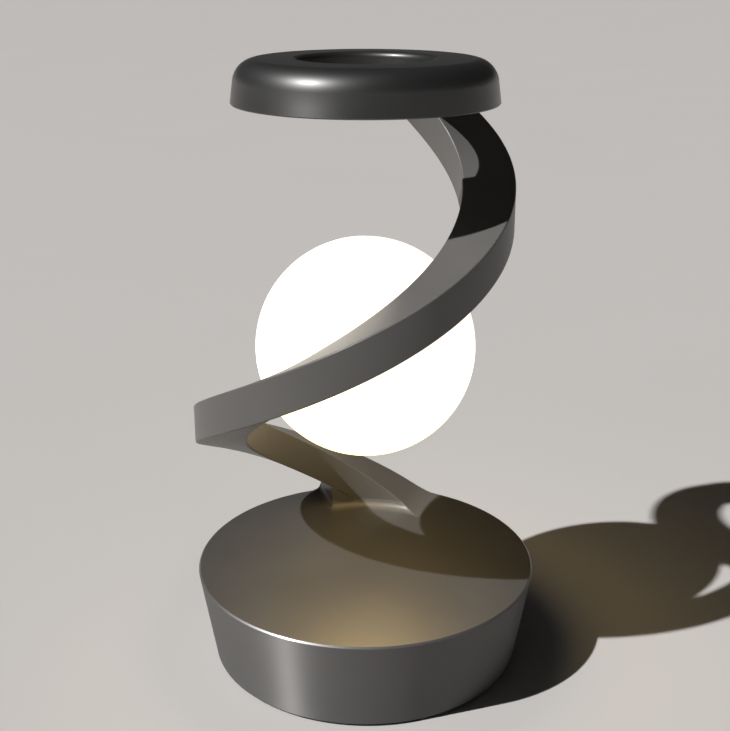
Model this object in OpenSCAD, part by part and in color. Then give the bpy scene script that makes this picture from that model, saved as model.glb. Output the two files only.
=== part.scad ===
// Levitating globe lamp: a drum base, one rising spiral arm, a ring head and a floating lit globe.
// Millimetres, +Z up, +Y to the back. The origin is on the table, under the middle of the base.

/* [Base] */
// Diameter of the drum at its top rim
base_top_d = 120; // [110:1:130]
// Diameter of the drum at its foot
base_bottom_d = 109.5; // [100:0.5:118]
// Height of the drum's shell
base_h = 32.6; // [30:0.2:40]
// Thickness of the drum's side wall
base_wall = 2.5; // [1.8:0.1:3]
// Thickness of the drum's top
base_top_t = 3; // [2.4:0.1:3.6]
// Bright chamfer round the top rim
rim_chamfer = 0.6; // [0.3:0.1:1.2]
// Thickness of the bottom plate
plate_t = 2.4; // [2:0.1:3]
// How far the rubber feet hold the shell off the table
foot_lift = 0.8; // [0.5:0.1:2]
// Diameter of one rubber foot
foot_d = 12; // [8:1:14]
// Diameter of the circle that the feet sit on
foot_circle_d = 80; // [70:1:86]
// Diameter of the steel ballast disc
ballast_d = 72; // [66:1:78]
// Thickness of the steel ballast disc
ballast_t = 4; // [3:0.5:5]

/* [Spiral arm] */
// Height of the arm's section
arm_h = 13.8; // [12:0.1:16]
// Radial width of the arm at its foot
arm_foot_w = 18; // [16:0.2:20]
// Radial width of the arm under the ring
arm_top_w = 17; // [15:0.2:18]
// Angle at which the arm's upper face leaves the base, from +X
arm_start_deg = 64; // [50:1:80]
// Turn of the arm from the base to the ring, in degrees
arm_sweep_deg = 339; // [310:1:350]
// How much faster the arm climbs at its foot than at its head
arm_ease = 0.07; // [0.02:0.01:0.12]
// Inset of the arm's outer face from the rim at the foot
arm_foot_inset = 1.2; // [1:0.1:4]
// Gap between the globe's widest circle and the arm halfway up
arm_globe_gap = 2.4; // [2.2:0.1:5]
// Inset of the arm's outer face from the ring's edge
arm_ring_inset = 0.3; // [0.2:0.1:1.2]
// Blunt thickness at the arm's two tapered ends
arm_toe = 0.8; // [0.5:0.1:1.5]
// Length of the arm's foot, from its narrow corner to the end of its hollow round
arm_foot_reach = 17.7; // [16:0.1:20]
// Radius of the hollow round between the foot's end wall and the base
arm_fillet = 2.9; // [2:0.1:4]

/* [Ring head] */
// Clear height from the base's top to the ring's underside
ring_gap = 162.2; // [150:0.2:180]
// Diameter of the ring at its lower edge
ring_d = 86; // [78:1:96]
// Diameter of the hole through the ring
ring_hole_d = 42.8; // [38:0.2:44]
// Height of the ring at its inner lip
ring_h = 15; // [14:0.2:20]
// Inward lean of the ring's side, in degrees
ring_draft_deg = 8; // [4:1:10]
// Outward fall of the ring's top, in degrees
ring_fall_deg = 4.5; // [2:0.5:6]
// Radius of the ring's shoulder
ring_shoulder = 7.5; // [6:0.1:8]
// Radius of the lip round the hole
ring_lip = 1.8; // [1:0.1:2.4]
// Thickness of the ring's shell
ring_wall = 2.2; // [1.6:0.1:2.6]
// Thickness of the cover under the ring
ring_cover_t = 2.4; // [2.2:0.1:3]
// Radial width of the holding magnet in the ring
ring_magnet_w = 8.8; // [7:0.1:9]
// Height of the holding magnet in the ring
ring_magnet_h = 6; // [4:0.2:7]

/* [Globe] */
// Diameter of the globe
globe_d = 74.6; // [68:0.2:80]
// Thickness of the globe's shell
globe_wall = 2.2; // [1.4:0.1:2.6]
// How far the globe floats below the middle of the gap
globe_sag = 0.6; // [0:0.1:3]
// Diameter of the port in the globe's bottom
globe_port_d = 28; // [27:0.5:30]
// Height of the plug that closes the port
globe_cap_h = 6; // [5:0.1:7]
// Diameter of the floating magnet
float_magnet_d = 25; // [20:0.5:25]
// Height of the floating magnet
float_magnet_h = 6; // [4:0.2:7]
// Outer diameter of the power receiving coil
receiver_d = 40; // [36:1:42]
// Side of one light chip
led_side = 3.5; // [2.5:0.1:4]

/* [Lift unit] */
// Height of the circuit boards above the bottom plate
board_lift = 6; // [5.6:0.1:7]
// Thickness of a circuit board
board_t = 1.6; // [1.2:0.1:2]
// Diameter of the round coil board
coil_board_d = 74; // [68:0.5:82]
// Outer diameter of one lifting coil's bobbin
bobbin_d = 16; // [14:0.1:17]
// Height of one lifting coil's bobbin
bobbin_h = 12.4; // [10:0.2:14]
// Diameter of the circle that the lifting coils stand on
coil_circle_d = 28; // [26:0.2:30]
// Diameter of one lifting coil's steel core
core_d = 7; // [5:0.2:7.4]
// Outer diameter of the lifting magnet ring
lift_magnet_d = 68; // [62:0.5:74]
// Radial width of the lifting magnet ring
lift_magnet_w = 8; // [6:0.2:8.4]
// Height of the lifting magnet ring
lift_magnet_h = 8; // [6:0.2:10]
// Outer diameter of the power sending coil
sender_d = 66; // [58:1:68]
// Radial width of the power sending coil
sender_w = 16; // [12:0.5:18]
// Thickness of the power sending coil
sender_t = 2; // [1.4:0.1:2.4]

/* [Rear panel] */
// Width of the power inlet's metal shell
inlet_w = 8.94; // [8:0.02:10]
// Height of the power inlet's metal shell
inlet_h = 3.26; // [3:0.02:3.6]
// Length of the power inlet's metal shell
inlet_len = 9; // [8:0.1:10]
// Bearing of the power button round the base, from +X
button_deg = 130; // [120:1:140]
// Diameter of the power button
button_d = 7; // [5:0.1:8]
// How far the power button stands out of the wall
button_out = 1.2; // [1:0.1:1.6]
// Travel of the power button
button_travel = 0.8; // [0.5:0.1:1]

/* [Hidden] */
$fn = 96;

// Clearances
screw_clear = 0.1;
hole_clear = 0.2;
slide_clear = 0.3;
seat_clear = 0.3;
cap_clear = 0.15;
cut_over = 1;

// Screws: [shank diameter, head diameter, head height, grip depth]
plate_screw = [3, 5.6, 1.2, 9];
foot_screw = [4, 6.4, 2.4, 8];
top_screw = [3, 6, 1.7, 5];
ring_screw = [2.4, 4.4, 1.2, 5];
board_screw = [2.4, 4.4, 1.6, 4.4];
screw_floor = 0.5;

// Heights in the base
plate_recess = 0.2;
foot_pocket = 0.8;
base_z0 = foot_lift;
base_z1 = base_z0 + base_h;
base_under = base_z1 - base_top_t;
plate_z0 = base_z0 + plate_recess;
plate_z1 = plate_z0 + plate_t;
board_z0 = plate_z1 + board_lift;
board_z1 = board_z0 + board_t;

// Posts and standoffs in the base
post_d = 8;
post_wall_gap = 1.2;
post_circle_r = base_bottom_d / 2 - base_wall - post_d / 2 - post_wall_gap;
post_deg = [54, button_deg + 30, 240, 330];
standoff_d = 6;
standoff_inset = 6;
standoff_circle_r = ballast_d / 2 - standoff_inset;
standoff_deg = [0, 90, 180, 270];
foot_deg = [15, 105, 195, 285];

// Lift unit
coil_deg = [45, 135, 225, 315];
tray_leg_d = 4;
tray_leg_h = 3.6;
tray_floor_t = 1.4;
tray_wall = 1.6;
tray_r1 = lift_magnet_d / 2 + hole_clear + tray_wall;
tray_r0 = lift_magnet_d / 2 - lift_magnet_w;
tray_leg_r = (tray_r0 + tray_r1) / 2;
tray_z0 = board_z1 + tray_leg_h;
shield_t = 0.8;
shield_z1 = base_under - sender_t;
shield_z0 = shield_z1 - shield_t;
bobbin_flange_t = 1.2;
bobbin_hub_wall = 1;
winding_inset = 0.7;
core_out = 0.4;
sensor_post_d = 6;
sensor_drop = 1;
sensor_post_h = bobbin_h - sensor_drop;
sensor_side = 3.6;
sensor_t = 1.2;
chip_side = 4;
chip_t = 1.2;
chip_gap = 0.8;
chip_deg = [22.5, 112.5, 202.5, 292.5];

// Rear panel
inlet_wall = 0.3;
inlet_recess = 0.6;
inlet_back_t = 1;
tongue_side = 1.1;
tongue_w = inlet_w - 2 * tongue_side;
tongue_t = 0.7;
tongue_recess = 0.9;
inlet_z = board_z1 + inlet_h / 2;
inlet_y1 = base_r(inlet_z) - inlet_recess;
inlet_y0 = inlet_y1 - inlet_len;
board_gap = 1.2;
board_edge = 0.8;
inlet_lap = 3;
control_y1 = inlet_y0 + inlet_lap;
control_y0 = coil_board_d / 2 + board_gap;
control_chip_x = inlet_w / 2 + chip_gap + chip_side / 2;
control_fix_x = control_chip_x + chip_side / 2 + chip_gap + board_screw[1] / 2;
control_fix_y = control_y0 + board_edge + board_screw[1] / 2;
control_w = 2 * (control_fix_x + board_screw[1] / 2 + board_edge);
link_w = 8;
link_h = 3;
link_lap = 2.6;
button_lift = 2;
button_z = board_z1 + button_lift;
button_flange_w = 1.2;
button_flange_d = button_d + 2 * button_flange_w;
button_flange_t = 1.2;
button_edge = 0.5;
button_r1 = base_r(button_z) + button_out;
button_flange_r1 = base_inner_r(button_z - button_flange_d / 2) - seat_clear - slide_clear;
button_flange_r0 = button_flange_r1 - button_flange_t;
plunger_d = 3.2;
plunger_out = 1.4;
plunger_in = 1.6;
switch_side = 6;
switch_h = 4.2;
switch_r1 = button_flange_r0 - plunger_out;
switch_r0 = switch_r1 - switch_side;
switch_fix_r = (switch_r0 + switch_r1) / 2;
switch_fix_t = switch_side / 2 + chip_gap + standoff_d / 2;
switch_board_t0 = -switch_side / 2 - board_edge;
switch_board_t1 = switch_fix_t + standoff_d / 2;

// Arm: radius of its middle line at the foot, halfway and under the ring
arm_r0 = base_top_d / 2 - arm_foot_inset - arm_foot_w / 2;
arm_rh = globe_d / 2 + arm_globe_gap + (arm_foot_w + arm_top_w) / 4;
arm_r1 = ring_d / 2 - arm_ring_inset - arm_top_w / 2;
arm_u0 = arm_share(arm_toe);
arm_u1 = arm_share(arm_h);
arm_u3 = arm_share(ring_gap + arm_h - arm_toe);
arm_foot_steps = 6;
arm_steps = 84;
arm_head_steps = 8;
fillet_skin = 0.1;
arm_foot_lap_deg = 3;
arm_foot_fix_out = [-4.6, 2.6];
arm_foot_fix_deg = arm_deg(arm_u1) - arm_foot_lap_deg;
arm_foot_fix_r = [for (out = arm_foot_fix_out) arm_r0 + out];
arm_top_fix_turn = [2, 15];
arm_top_fix_deg = [for (turn = arm_top_fix_turn) arm_deg(1) + turn];

// Ring head
ring_z0 = base_z1 + ring_gap;
ring_boss_d = 5;
ring_boss_h = 7;
ring_boss_gap = 0.6;
ring_boss_r = ring_d / 2 - ring_wall - ring_boss_d / 2 - ring_boss_gap;
ring_boss_turn = [57, 147, 237, 327];
ring_boss_deg = [for (turn = ring_boss_turn) arm_deg(1) + turn];
ring_cover_r0 = ring_hole_d / 2 + ring_wall + seat_clear;
ring_cover_r1 = ring_inner_r(ring_cover_t) - seat_clear;
ring_magnet_gap = 2;
ring_magnet_r0 = ring_hole_d / 2 + ring_wall + ring_magnet_gap;
ring_lip_least = 0.4;
arm_top_fix_r = (ring_cover_r0 + ring_cover_r1) / 2;

// Globe
globe_r = globe_d / 2;
globe_z = base_z1 + ring_gap / 2 - globe_sag;
cap_z1 = globe_z - globe_r + globe_cap_h;
cup_floor_t = 1;
cup_wall = 1.2;
cup_r = float_magnet_d / 2 + hole_clear;
cup_z1 = cap_z1 + cup_floor_t + float_magnet_h;
receiver_t = 2;
led_board_t = 1.6;
led_board_lap = 0.5;
led_board_d = receiver_d + 2 * led_board_lap;
led_board_z0 = cup_z1 + receiver_t;
led_t = 1.2;
led_inset = 6;
led_circle_r = led_board_d / 2 - led_inset;
led_count = 6;

// Outer and inner radius of the drum's wall at a height
function base_r(z) = base_bottom_d / 2
    + (base_top_d - base_bottom_d) / 2 * (z - base_z0) / (base_h - rim_chamfer);
function base_inner_r(z) = base_r(z) - base_wall;

// Inner radius of the ring's side wall at a height above its underside
function ring_inner_r(h) = ring_d / 2 - ring_wall / cos(ring_draft_deg) - h * tan(ring_draft_deg);

// Arm: u runs from 0, where its upper face leaves the base, to 1, where that face meets the ring
function arm_rise(u) = ring_gap * (u + arm_ease * u * (1 - u));
function arm_share(rise) =
    let (k = 1 + arm_ease)
    (k - sqrt(k * k - 4 * arm_ease * rise / ring_gap)) / (2 * arm_ease);
function arm_deg(u) = arm_start_deg + arm_sweep_deg * u;
function arm_mid_r(u) = arm_r0
    + u * (4 * arm_rh - 3 * arm_r0 - arm_r1)
    + 2 * u * u * (arm_r0 - 2 * arm_rh + arm_r1);
function arm_w(u) = arm_foot_w + (arm_top_w - arm_foot_w) * u;
function arm_r(u, side) = arm_mid_r(u) + side * arm_w(u) / 2;
function arm_point(u, side, rise) =
    let (r = arm_r(u, side), a = arm_deg(u))
    [r * cos(a), r * sin(a), base_z1 + rise];
function arm_section(u) =
    let (low = min(max(arm_rise(u) - arm_h, 0), ring_gap - arm_toe))
    let (high = min(max(arm_rise(u), arm_toe), ring_gap))
    [arm_point(u, -1, low), arm_point(u, 1, low), arm_point(u, 1, high), arm_point(u, -1, high)];

// Places its children at each bearing, at one radius
module round_about(bearings, r) {
    for (a = bearings) {
        rotate([0, 0, a]) translate([r, 0, 0]) children();
    }
}

// A cylinder between two heights
module rod(d, z0, z1) {
    translate([0, 0, z0]) cylinder(d = d, h = z1 - z0);
}

// A flat ring between two radii and two heights
module washer(r0, r1, z0, z1) {
    translate([0, 0, z0]) rotate_extrude() translate([r0, 0]) square([r1 - r0, z1 - z0]);
}

// A screw standing head down: the underside of its head is at z, and its shank rises
module screw_up(s, z, reach) {
    rod(s[1], z - s[2], z);
    rod(s[0], z - s[2], z + reach);
}

// A screw standing head up: the underside of its head is at z, and its shank goes down
module screw_down(s, z, reach) {
    rod(s[1], z, z + s[2]);
    rod(s[0], z - reach, z + s[2]);
}

// A slot with round ends, along X, drawn flat
module stadium(w, h) {
    square([w - h, h], center = true);
    for (side = [-1, 1]) {
        translate([side * (w - h) / 2, 0]) circle(d = h);
    }
}

// An upright slot-shaped bar along +Y, from y0 to y1 at height z
module stadium_bar(w, h, z, y0, y1) {
    translate([0, y1, z]) rotate([90, 0, 0]) linear_extrude(y1 - y0) stadium(w, h);
}

// A cylinder along a bearing, from r0 to r1 at height z
module spoke(d, bearing, z, r0, r1) {
    rotate([0, 0, bearing]) translate([r0, 0, z]) rotate([0, 90, 0]) cylinder(d = d, h = r1 - r0);
}

module base_section() {
    r1 = base_top_d / 2;
    polygon([
        [0, base_z1], [r1 - rim_chamfer, base_z1], [r1, base_z1 - rim_chamfer],
        [base_bottom_d / 2, base_z0], [base_inner_r(base_z0), base_z0],
        [base_inner_r(base_under), base_under], [0, base_under]
    ]);
}

module base_shell() {
    color("#66676a")
    difference() {
        union() {
            rotate_extrude() base_section();
            round_about(post_deg, post_circle_r) rod(post_d, plate_z1, base_under + base_top_t / 2);
        }
        round_about(post_deg, post_circle_r)
            rod(plate_screw[0] + 2 * screw_clear, plate_z1 - cut_over,
                plate_z1 + plate_screw[3] + screw_floor);
        for (r = arm_foot_fix_r) {
            round_about([arm_foot_fix_deg], r)
                rod(foot_screw[0] + 2 * screw_clear, base_under - cut_over, base_z1 + cut_over);
        }
        stadium_bar(inlet_w + 2 * slide_clear, inlet_h + 2 * slide_clear, inlet_z,
            inlet_y0, base_top_d / 2 + cut_over);
        spoke(button_d + 2 * slide_clear, button_deg, button_z, button_flange_r1, base_top_d / 2 + cut_over);
    }
}

module base_plate() {
    fix = board_screw[0] + 2 * screw_clear;
    fix_z0 = board_z0 - board_screw[3] + board_t - screw_floor;
    color("#2b2b2d")
    difference() {
        union() {
            rod(2 * (base_inner_r(base_z0) - seat_clear), plate_z0, plate_z1);
            board_posts() rod(standoff_d, plate_z1 - plate_t / 2, board_z0);
        }
        board_posts() rod(fix, fix_z0, board_z0 + cut_over);
        round_about(post_deg, post_circle_r) {
            rod(plate_screw[0] + 2 * hole_clear, plate_z0 - cut_over, plate_z1 + cut_over);
            rod(plate_screw[1] + 2 * hole_clear, plate_z0 - cut_over, plate_z0 + plate_screw[2] + hole_clear);
        }
        round_about(foot_deg, foot_circle_d / 2)
            rod(foot_d + 2 * hole_clear, plate_z0 - cut_over, plate_z0 + foot_pocket);
    }
}

// Places its children on every standoff that carries a board
module board_posts() {
    round_about(standoff_deg, standoff_circle_r) children();
    for (side = [-1, 1]) {
        translate([side * control_fix_x, control_fix_y, 0]) children();
    }
    rotate([0, 0, button_deg]) translate([switch_fix_r, switch_fix_t, 0]) children();
}

module base_screws() {
    seat = plate_z0 + plate_screw[2] + hole_clear;
    color("silver")
    round_about(post_deg, post_circle_r) screw_up(plate_screw, seat, plate_z1 - seat + plate_screw[3]);
}

module rubber_feet() {
    color("#161616")
    round_about(foot_deg, foot_circle_d / 2) rod(foot_d, 0, plate_z0 + foot_pocket);
}

module ballast_disc() {
    color("dimgray")
    difference() {
        rod(ballast_d, plate_z1, plate_z1 + ballast_t);
        round_about(standoff_deg, standoff_circle_r)
            rod(standoff_d + 2 * slide_clear, plate_z1 - cut_over, plate_z1 + ballast_t + cut_over);
    }
}

module coil_board() {
    color("darkgreen")
    difference() {
        rod(coil_board_d, board_z0, board_z1);
        round_about(standoff_deg, standoff_circle_r)
            rod(board_screw[0] + 2 * hole_clear, board_z0 - cut_over, board_z1 + cut_over);
    }
}

module control_board() {
    color("darkgreen")
    difference() {
        translate([-control_w / 2, control_y0, board_z0]) cube([control_w, control_y1 - control_y0, board_t]);
        for (side = [-1, 1]) {
            translate([side * control_fix_x, control_fix_y, 0])
                rod(board_screw[0] + 2 * hole_clear, board_z0 - cut_over, board_z1 + cut_over);
        }
    }
}

module switch_board() {
    color("darkgreen")
    difference() {
        rotate([0, 0, button_deg])
            translate([switch_r0 - board_edge, switch_board_t0, board_z0])
            cube([switch_side + board_edge, switch_board_t1 - switch_board_t0, board_t]);
        rotate([0, 0, button_deg])
            translate([switch_fix_r, switch_fix_t, 0])
            rod(board_screw[0] + 2 * hole_clear, board_z0 - cut_over, board_z1 + cut_over);
    }
}

module board_screws() {
    color("silver")
    board_posts() screw_down(board_screw, board_z1, board_screw[3]);
}

module board_chips() {
    chip = [chip_side, chip_side, chip_t];
    color("#1c1c1e") {
        round_about(chip_deg, standoff_circle_r)
            translate([-chip_side / 2, -chip_side / 2, board_z1]) cube(chip);
        for (side = [-1, 1]) {
            translate([side * control_chip_x - chip_side / 2, control_y0 + board_edge, board_z1]) cube(chip);
        }
    }
}

module board_link() {
    y0 = coil_board_d / 2 - link_lap;
    color("ivory")
    translate([-link_w / 2, y0, board_z1]) cube([link_w, control_y0 + link_lap - y0, link_h]);
}

module inlet_shell() {
    color("silver")
    difference() {
        stadium_bar(inlet_w, inlet_h, inlet_z, inlet_y0, inlet_y1);
        stadium_bar(inlet_w - 2 * inlet_wall, inlet_h - 2 * inlet_wall, inlet_z,
            inlet_y0 + inlet_back_t, inlet_y1 + cut_over);
    }
}

module inlet_tongue() {
    y0 = inlet_y0 + inlet_back_t;
    color("#1c1c1e")
    translate([-tongue_w / 2, y0, inlet_z - tongue_t / 2])
        cube([tongue_w, inlet_y1 - tongue_recess - y0, tongue_t]);
}

module switch_body() {
    color("#1c1c1e")
    difference() {
        rotate([0, 0, button_deg])
            translate([switch_r0, -switch_side / 2, board_z1]) cube([switch_side, switch_side, switch_h]);
        spoke(plunger_d + 2 * slide_clear, button_deg, button_z,
            switch_r1 - plunger_in - button_travel - slide_clear, switch_r1 + cut_over);
    }
}

module switch_plunger() {
    color("ivory")
    spoke(plunger_d, button_deg, button_z, switch_r1 - plunger_in, button_flange_r0);
}

module power_button() {
    cap = button_r1 - button_flange_r0;
    color("#3a3a3c")
    rotate([0, 0, button_deg]) translate([button_flange_r0, 0, button_z]) rotate([0, 90, 0])
        rotate_extrude() polygon([
            [0, 0], [button_flange_d / 2, 0], [button_flange_d / 2, button_flange_t],
            [button_d / 2, button_flange_t], [button_d / 2, cap - button_edge],
            [button_d / 2 - button_edge, cap], [0, cap]
        ]);
}

module coil_bobbins() {
    hub = core_d / 2 + hole_clear;
    color("#202022")
    round_about(coil_deg, coil_circle_d / 2) {
        washer(hub, bobbin_d / 2, board_z1, board_z1 + bobbin_flange_t);
        washer(hub, hub + bobbin_hub_wall, board_z1, board_z1 + bobbin_h);
        washer(hub, bobbin_d / 2, board_z1 + bobbin_h - bobbin_flange_t, board_z1 + bobbin_h);
    }
}

module coil_windings() {
    r0 = core_d / 2 + hole_clear + bobbin_hub_wall + screw_clear;
    z0 = board_z1 + bobbin_flange_t;
    color("#b5651d")
    round_about(coil_deg, coil_circle_d / 2)
        washer(r0, bobbin_d / 2 - winding_inset, z0, z0 + bobbin_h - 2 * bobbin_flange_t);
}

module coil_cores() {
    color("gray")
    round_about(coil_deg, coil_circle_d / 2) rod(core_d, board_z1, board_z1 + bobbin_h + core_out);
}

module sensor_post() {
    color("ivory") rod(sensor_post_d, board_z1, board_z1 + sensor_post_h);
}

module hall_sensor() {
    color("#1c1c1e")
    translate([-sensor_side / 2, -sensor_side / 2, board_z1 + sensor_post_h])
        cube([sensor_side, sensor_side, sensor_t]);
}

module magnet_tray() {
    color("#303033") {
        washer(tray_r0, tray_r1, tray_z0, tray_z0 + tray_floor_t);
        washer(tray_r1 - tray_wall, tray_r1, tray_z0, shield_z0);
        round_about(coil_deg, tray_leg_r) rod(tray_leg_d, board_z1, tray_z0 + tray_floor_t / 2);
    }
}

module lift_magnet() {
    r1 = lift_magnet_d / 2;
    z0 = tray_z0 + tray_floor_t;
    color("#4a4a4d") washer(r1 - lift_magnet_w, r1, z0, z0 + lift_magnet_h);
}

module coil_shield() {
    color("#3b3b3d") washer(sender_d / 2 - sender_w, tray_r1, shield_z0, shield_z1);
}

module sender_coil() {
    color("#b5651d") washer(sender_d / 2 - sender_w, sender_d / 2, shield_z1, base_under);
}

// Fills the narrow corner between the arm's underside and the base, up to an end wall with a hollow round
module arm_foot_block() {
    end_u = arm_u1 + arm_foot_reach / arm_mid_r(arm_u1) * 180 / PI / arm_sweep_deg;
    r0 = arm_r(end_u, -1) + fillet_skin;
    r1 = arm_r(arm_u1, 1) - fillet_skin;
    wall_u = end_u - asin(arm_fillet / r1) / arm_sweep_deg;
    wall_h = arm_rise(wall_u) - arm_h + fillet_skin;
    difference() {
        translate([0, 0, base_z1]) rotate([0, 0, arm_foot_fix_deg])
            rotate_extrude(angle = arm_deg(end_u) - arm_foot_fix_deg)
            translate([r0, 0]) square([r1 - r0, wall_h]);
        rotate([0, 0, arm_deg(end_u)]) translate([r0 - cut_over, 0, base_z1 + wall_h])
            rotate([90, 0, 90]) linear_extrude(r1 - r0 + 2 * cut_over)
            rotate(90) stadium(2 * wall_h, 2 * arm_fillet);
    }
}

module arm_ribbon() {
    shares = concat(
        [for (i = [0 : arm_foot_steps - 1]) arm_u0 + (arm_u1 - arm_u0) * i / arm_foot_steps],
        [for (i = [0 : arm_steps - 1]) arm_u1 + (1 - arm_u1) * i / arm_steps],
        [for (i = [0 : arm_head_steps]) 1 + (arm_u3 - 1) * i / arm_head_steps]
    );
    points = [for (u = shares) each arm_section(u)];
    last = 4 * (len(shares) - 1);
    sides = [
        for (i = [0 : len(shares) - 2], k = [0 : 3])
            let (a = 4 * i + k, b = 4 * i + (k + 1) % 4)
            each [[a, b, b + 4], [a, b + 4, a + 4]]
    ];
    ends = [[2, 1, 0], [3, 2, 0], [last, last + 1, last + 2], [last, last + 2, last + 3]];
    polyhedron(points, concat(sides, ends));
}

module spiral_arm() {
    color("#2e2d2c")
    difference() {
        union() {
            arm_ribbon();
            arm_foot_block();
        }
        for (r = arm_foot_fix_r) {
            round_about([arm_foot_fix_deg], r)
                rod(foot_screw[0] + 2 * screw_clear, base_z1 - cut_over,
                    base_z1 + foot_screw[3] + screw_floor);
        }
        round_about(arm_top_fix_deg, arm_top_fix_r)
            rod(top_screw[0] + 2 * screw_clear, ring_z0 - top_screw[3] - screw_floor, ring_z0 + cut_over);
    }
}

module arm_foot_screws() {
    color("silver")
    for (r = arm_foot_fix_r) {
        round_about([arm_foot_fix_deg], r) screw_up(foot_screw, base_under, base_top_t + foot_screw[3]);
    }
}

// Countersunk head, flush with the top of the ring's cover
module top_screw_head(grow) {
    translate([0, 0, ring_z0 + ring_cover_t - top_screw[2]])
        cylinder(d1 = top_screw[0] + 2 * grow, d2 = top_screw[1] + 2 * grow, h = top_screw[2]);
}

module arm_top_screws() {
    color("silver")
    round_about(arm_top_fix_deg, arm_top_fix_r) {
        top_screw_head(0);
        rod(top_screw[0], ring_z0 - top_screw[3], ring_z0 + ring_cover_t - top_screw[2] / 2);
    }
}

// Half section of the ring, drawn inset by a wall and open below for the hollow
module ring_section(inset, floor_z) {
    side = [cos(ring_draft_deg), sin(ring_draft_deg)];
    top = [sin(ring_fall_deg), cos(ring_fall_deg)];
    hole_r = ring_hole_d / 2 + inset;
    lip = max(ring_lip - inset, ring_lip_least);
    shoulder = ring_shoulder - inset;
    side_d = side * [ring_d / 2, 0] - inset;
    top_d = top * [ring_hole_d / 2 + ring_lip, ring_h] - inset;
    det = side[0] * top[1] - top[0] * side[1];
    corner = [
        ((side_d - shoulder) * top[1] - (top_d - shoulder) * side[1]) / det,
        (side[0] * (top_d - shoulder) - top[0] * (side_d - shoulder)) / det
    ];
    lip_at = [hole_r + lip, (top_d - lip - top[0] * (hole_r + lip)) / top[1]];
    foot_r = (side_d - side[1] * floor_z) / side[0];
    intersection() {
        union() {
            polygon([
                [hole_r, floor_z], [foot_r, floor_z], corner + shoulder * side,
                corner + shoulder * top, lip_at + lip * top, [hole_r, lip_at[1]]
            ]);
            translate(corner) circle(r = shoulder);
            translate(lip_at) circle(r = lip);
        }
        translate([0, floor_z]) square([ring_d, 2 * ring_h]);
    }
}

module ring_shell() {
    color("#3b3b3c")
    translate([0, 0, ring_z0])
    difference() {
        union() {
            rotate_extrude() difference() {
                ring_section(0, 0);
                ring_section(ring_wall, -cut_over);
            }
            intersection() {
                round_about(ring_boss_deg, ring_boss_r)
                    rod(ring_boss_d, ring_cover_t, ring_cover_t + ring_boss_h + ring_wall);
                rotate_extrude() ring_section(ring_wall / 2, 0);
            }
        }
        round_about(ring_boss_deg, ring_boss_r)
            rod(ring_screw[0] + 2 * screw_clear, 0, ring_cover_t + ring_screw[3] + screw_floor);
    }
}

module ring_cover() {
    color("#2a2a2b")
    difference() {
        washer(ring_cover_r0, ring_cover_r1, ring_z0, ring_z0 + ring_cover_t);
        round_about(ring_boss_deg, ring_boss_r) {
            rod(ring_screw[0] + 2 * hole_clear, ring_z0 - cut_over, ring_z0 + ring_cover_t + cut_over);
            rod(ring_screw[1] + 2 * hole_clear, ring_z0 - cut_over, ring_z0 + ring_screw[2]);
        }
        round_about(arm_top_fix_deg, arm_top_fix_r) {
            top_screw_head(hole_clear);
            rod(top_screw[0] + 2 * hole_clear, ring_z0 - cut_over, ring_z0 + ring_cover_t);
        }
    }
}

module ring_magnet() {
    z0 = ring_z0 + ring_cover_t;
    color("#4a4a4d")
    difference() {
        washer(ring_magnet_r0, ring_magnet_r0 + ring_magnet_w, z0, z0 + ring_magnet_h);
        round_about(ring_boss_deg, ring_boss_r)
            rod(ring_boss_d + 2 * slide_clear, z0 - cut_over, z0 + ring_magnet_h + cut_over);
    }
}

module ring_screws() {
    seat = ring_z0 + ring_screw[2];
    color("silver")
    round_about(ring_boss_deg, ring_boss_r)
        screw_up(ring_screw, seat, ring_cover_t - ring_screw[2] + ring_screw[3]);
}

module globe_shell() {
    color("#fff3d6")
    translate([0, 0, globe_z])
    difference() {
        sphere(r = globe_r);
        sphere(r = globe_r - globe_wall);
        rod(globe_port_d, -globe_r - cut_over, 0);
    }
}

module globe_cap() {
    color("#f4ead2")
    translate([0, 0, globe_z])
    intersection() {
        sphere(r = globe_r);
        rod(globe_port_d - 2 * cap_clear, -globe_r, globe_cap_h - globe_r);
    }
}

module magnet_cup() {
    wall_r = cup_r + cup_wall;
    color("whitesmoke")
    rotate_extrude() polygon([
        [0, cap_z1], [wall_r, cap_z1], [wall_r, cup_z1 - cup_wall], [receiver_d / 2, cup_z1 - cup_wall],
        [receiver_d / 2, cup_z1], [cup_r, cup_z1], [cup_r, cap_z1 + cup_floor_t], [0, cap_z1 + cup_floor_t]
    ]);
}

module float_magnet() {
    color("silver") rod(float_magnet_d, cap_z1 + cup_floor_t, cup_z1);
}

module receiver_coil() {
    color("#b5651d") washer(cup_r + cup_wall, receiver_d / 2, cup_z1, led_board_z0);
}

module led_board() {
    color("white") rod(led_board_d, led_board_z0, led_board_z0 + led_board_t);
}

module led_chips() {
    chip = [led_side, led_side, led_t];
    middle = [-led_side / 2, -led_side / 2, led_board_z0 + led_board_t];
    color("#ffd97a") {
        round_about([for (i = [0 : led_count - 1]) i * 360 / led_count], led_circle_r)
            translate(middle) cube(chip);
        translate(middle) cube(chip);
    }
}

base_shell();
base_plate();
base_screws();
rubber_feet();
ballast_disc();
coil_board();
control_board();
switch_board();
board_screws();
board_chips();
board_link();
inlet_shell();
inlet_tongue();
switch_body();
switch_plunger();
power_button();
coil_bobbins();
coil_windings();
coil_cores();
sensor_post();
hall_sensor();
magnet_tray();
lift_magnet();
coil_shield();
sender_coil();
spiral_arm();
arm_foot_screws();
arm_top_screws();
ring_shell();
ring_cover();
ring_magnet();
ring_screws();
globe_shell();
globe_cap();
magnet_cup();
float_magnet();
receiver_coil();
led_board();
led_chips();
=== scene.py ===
import math

import bmesh
import bpy
from mathutils import Matrix, Vector


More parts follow.
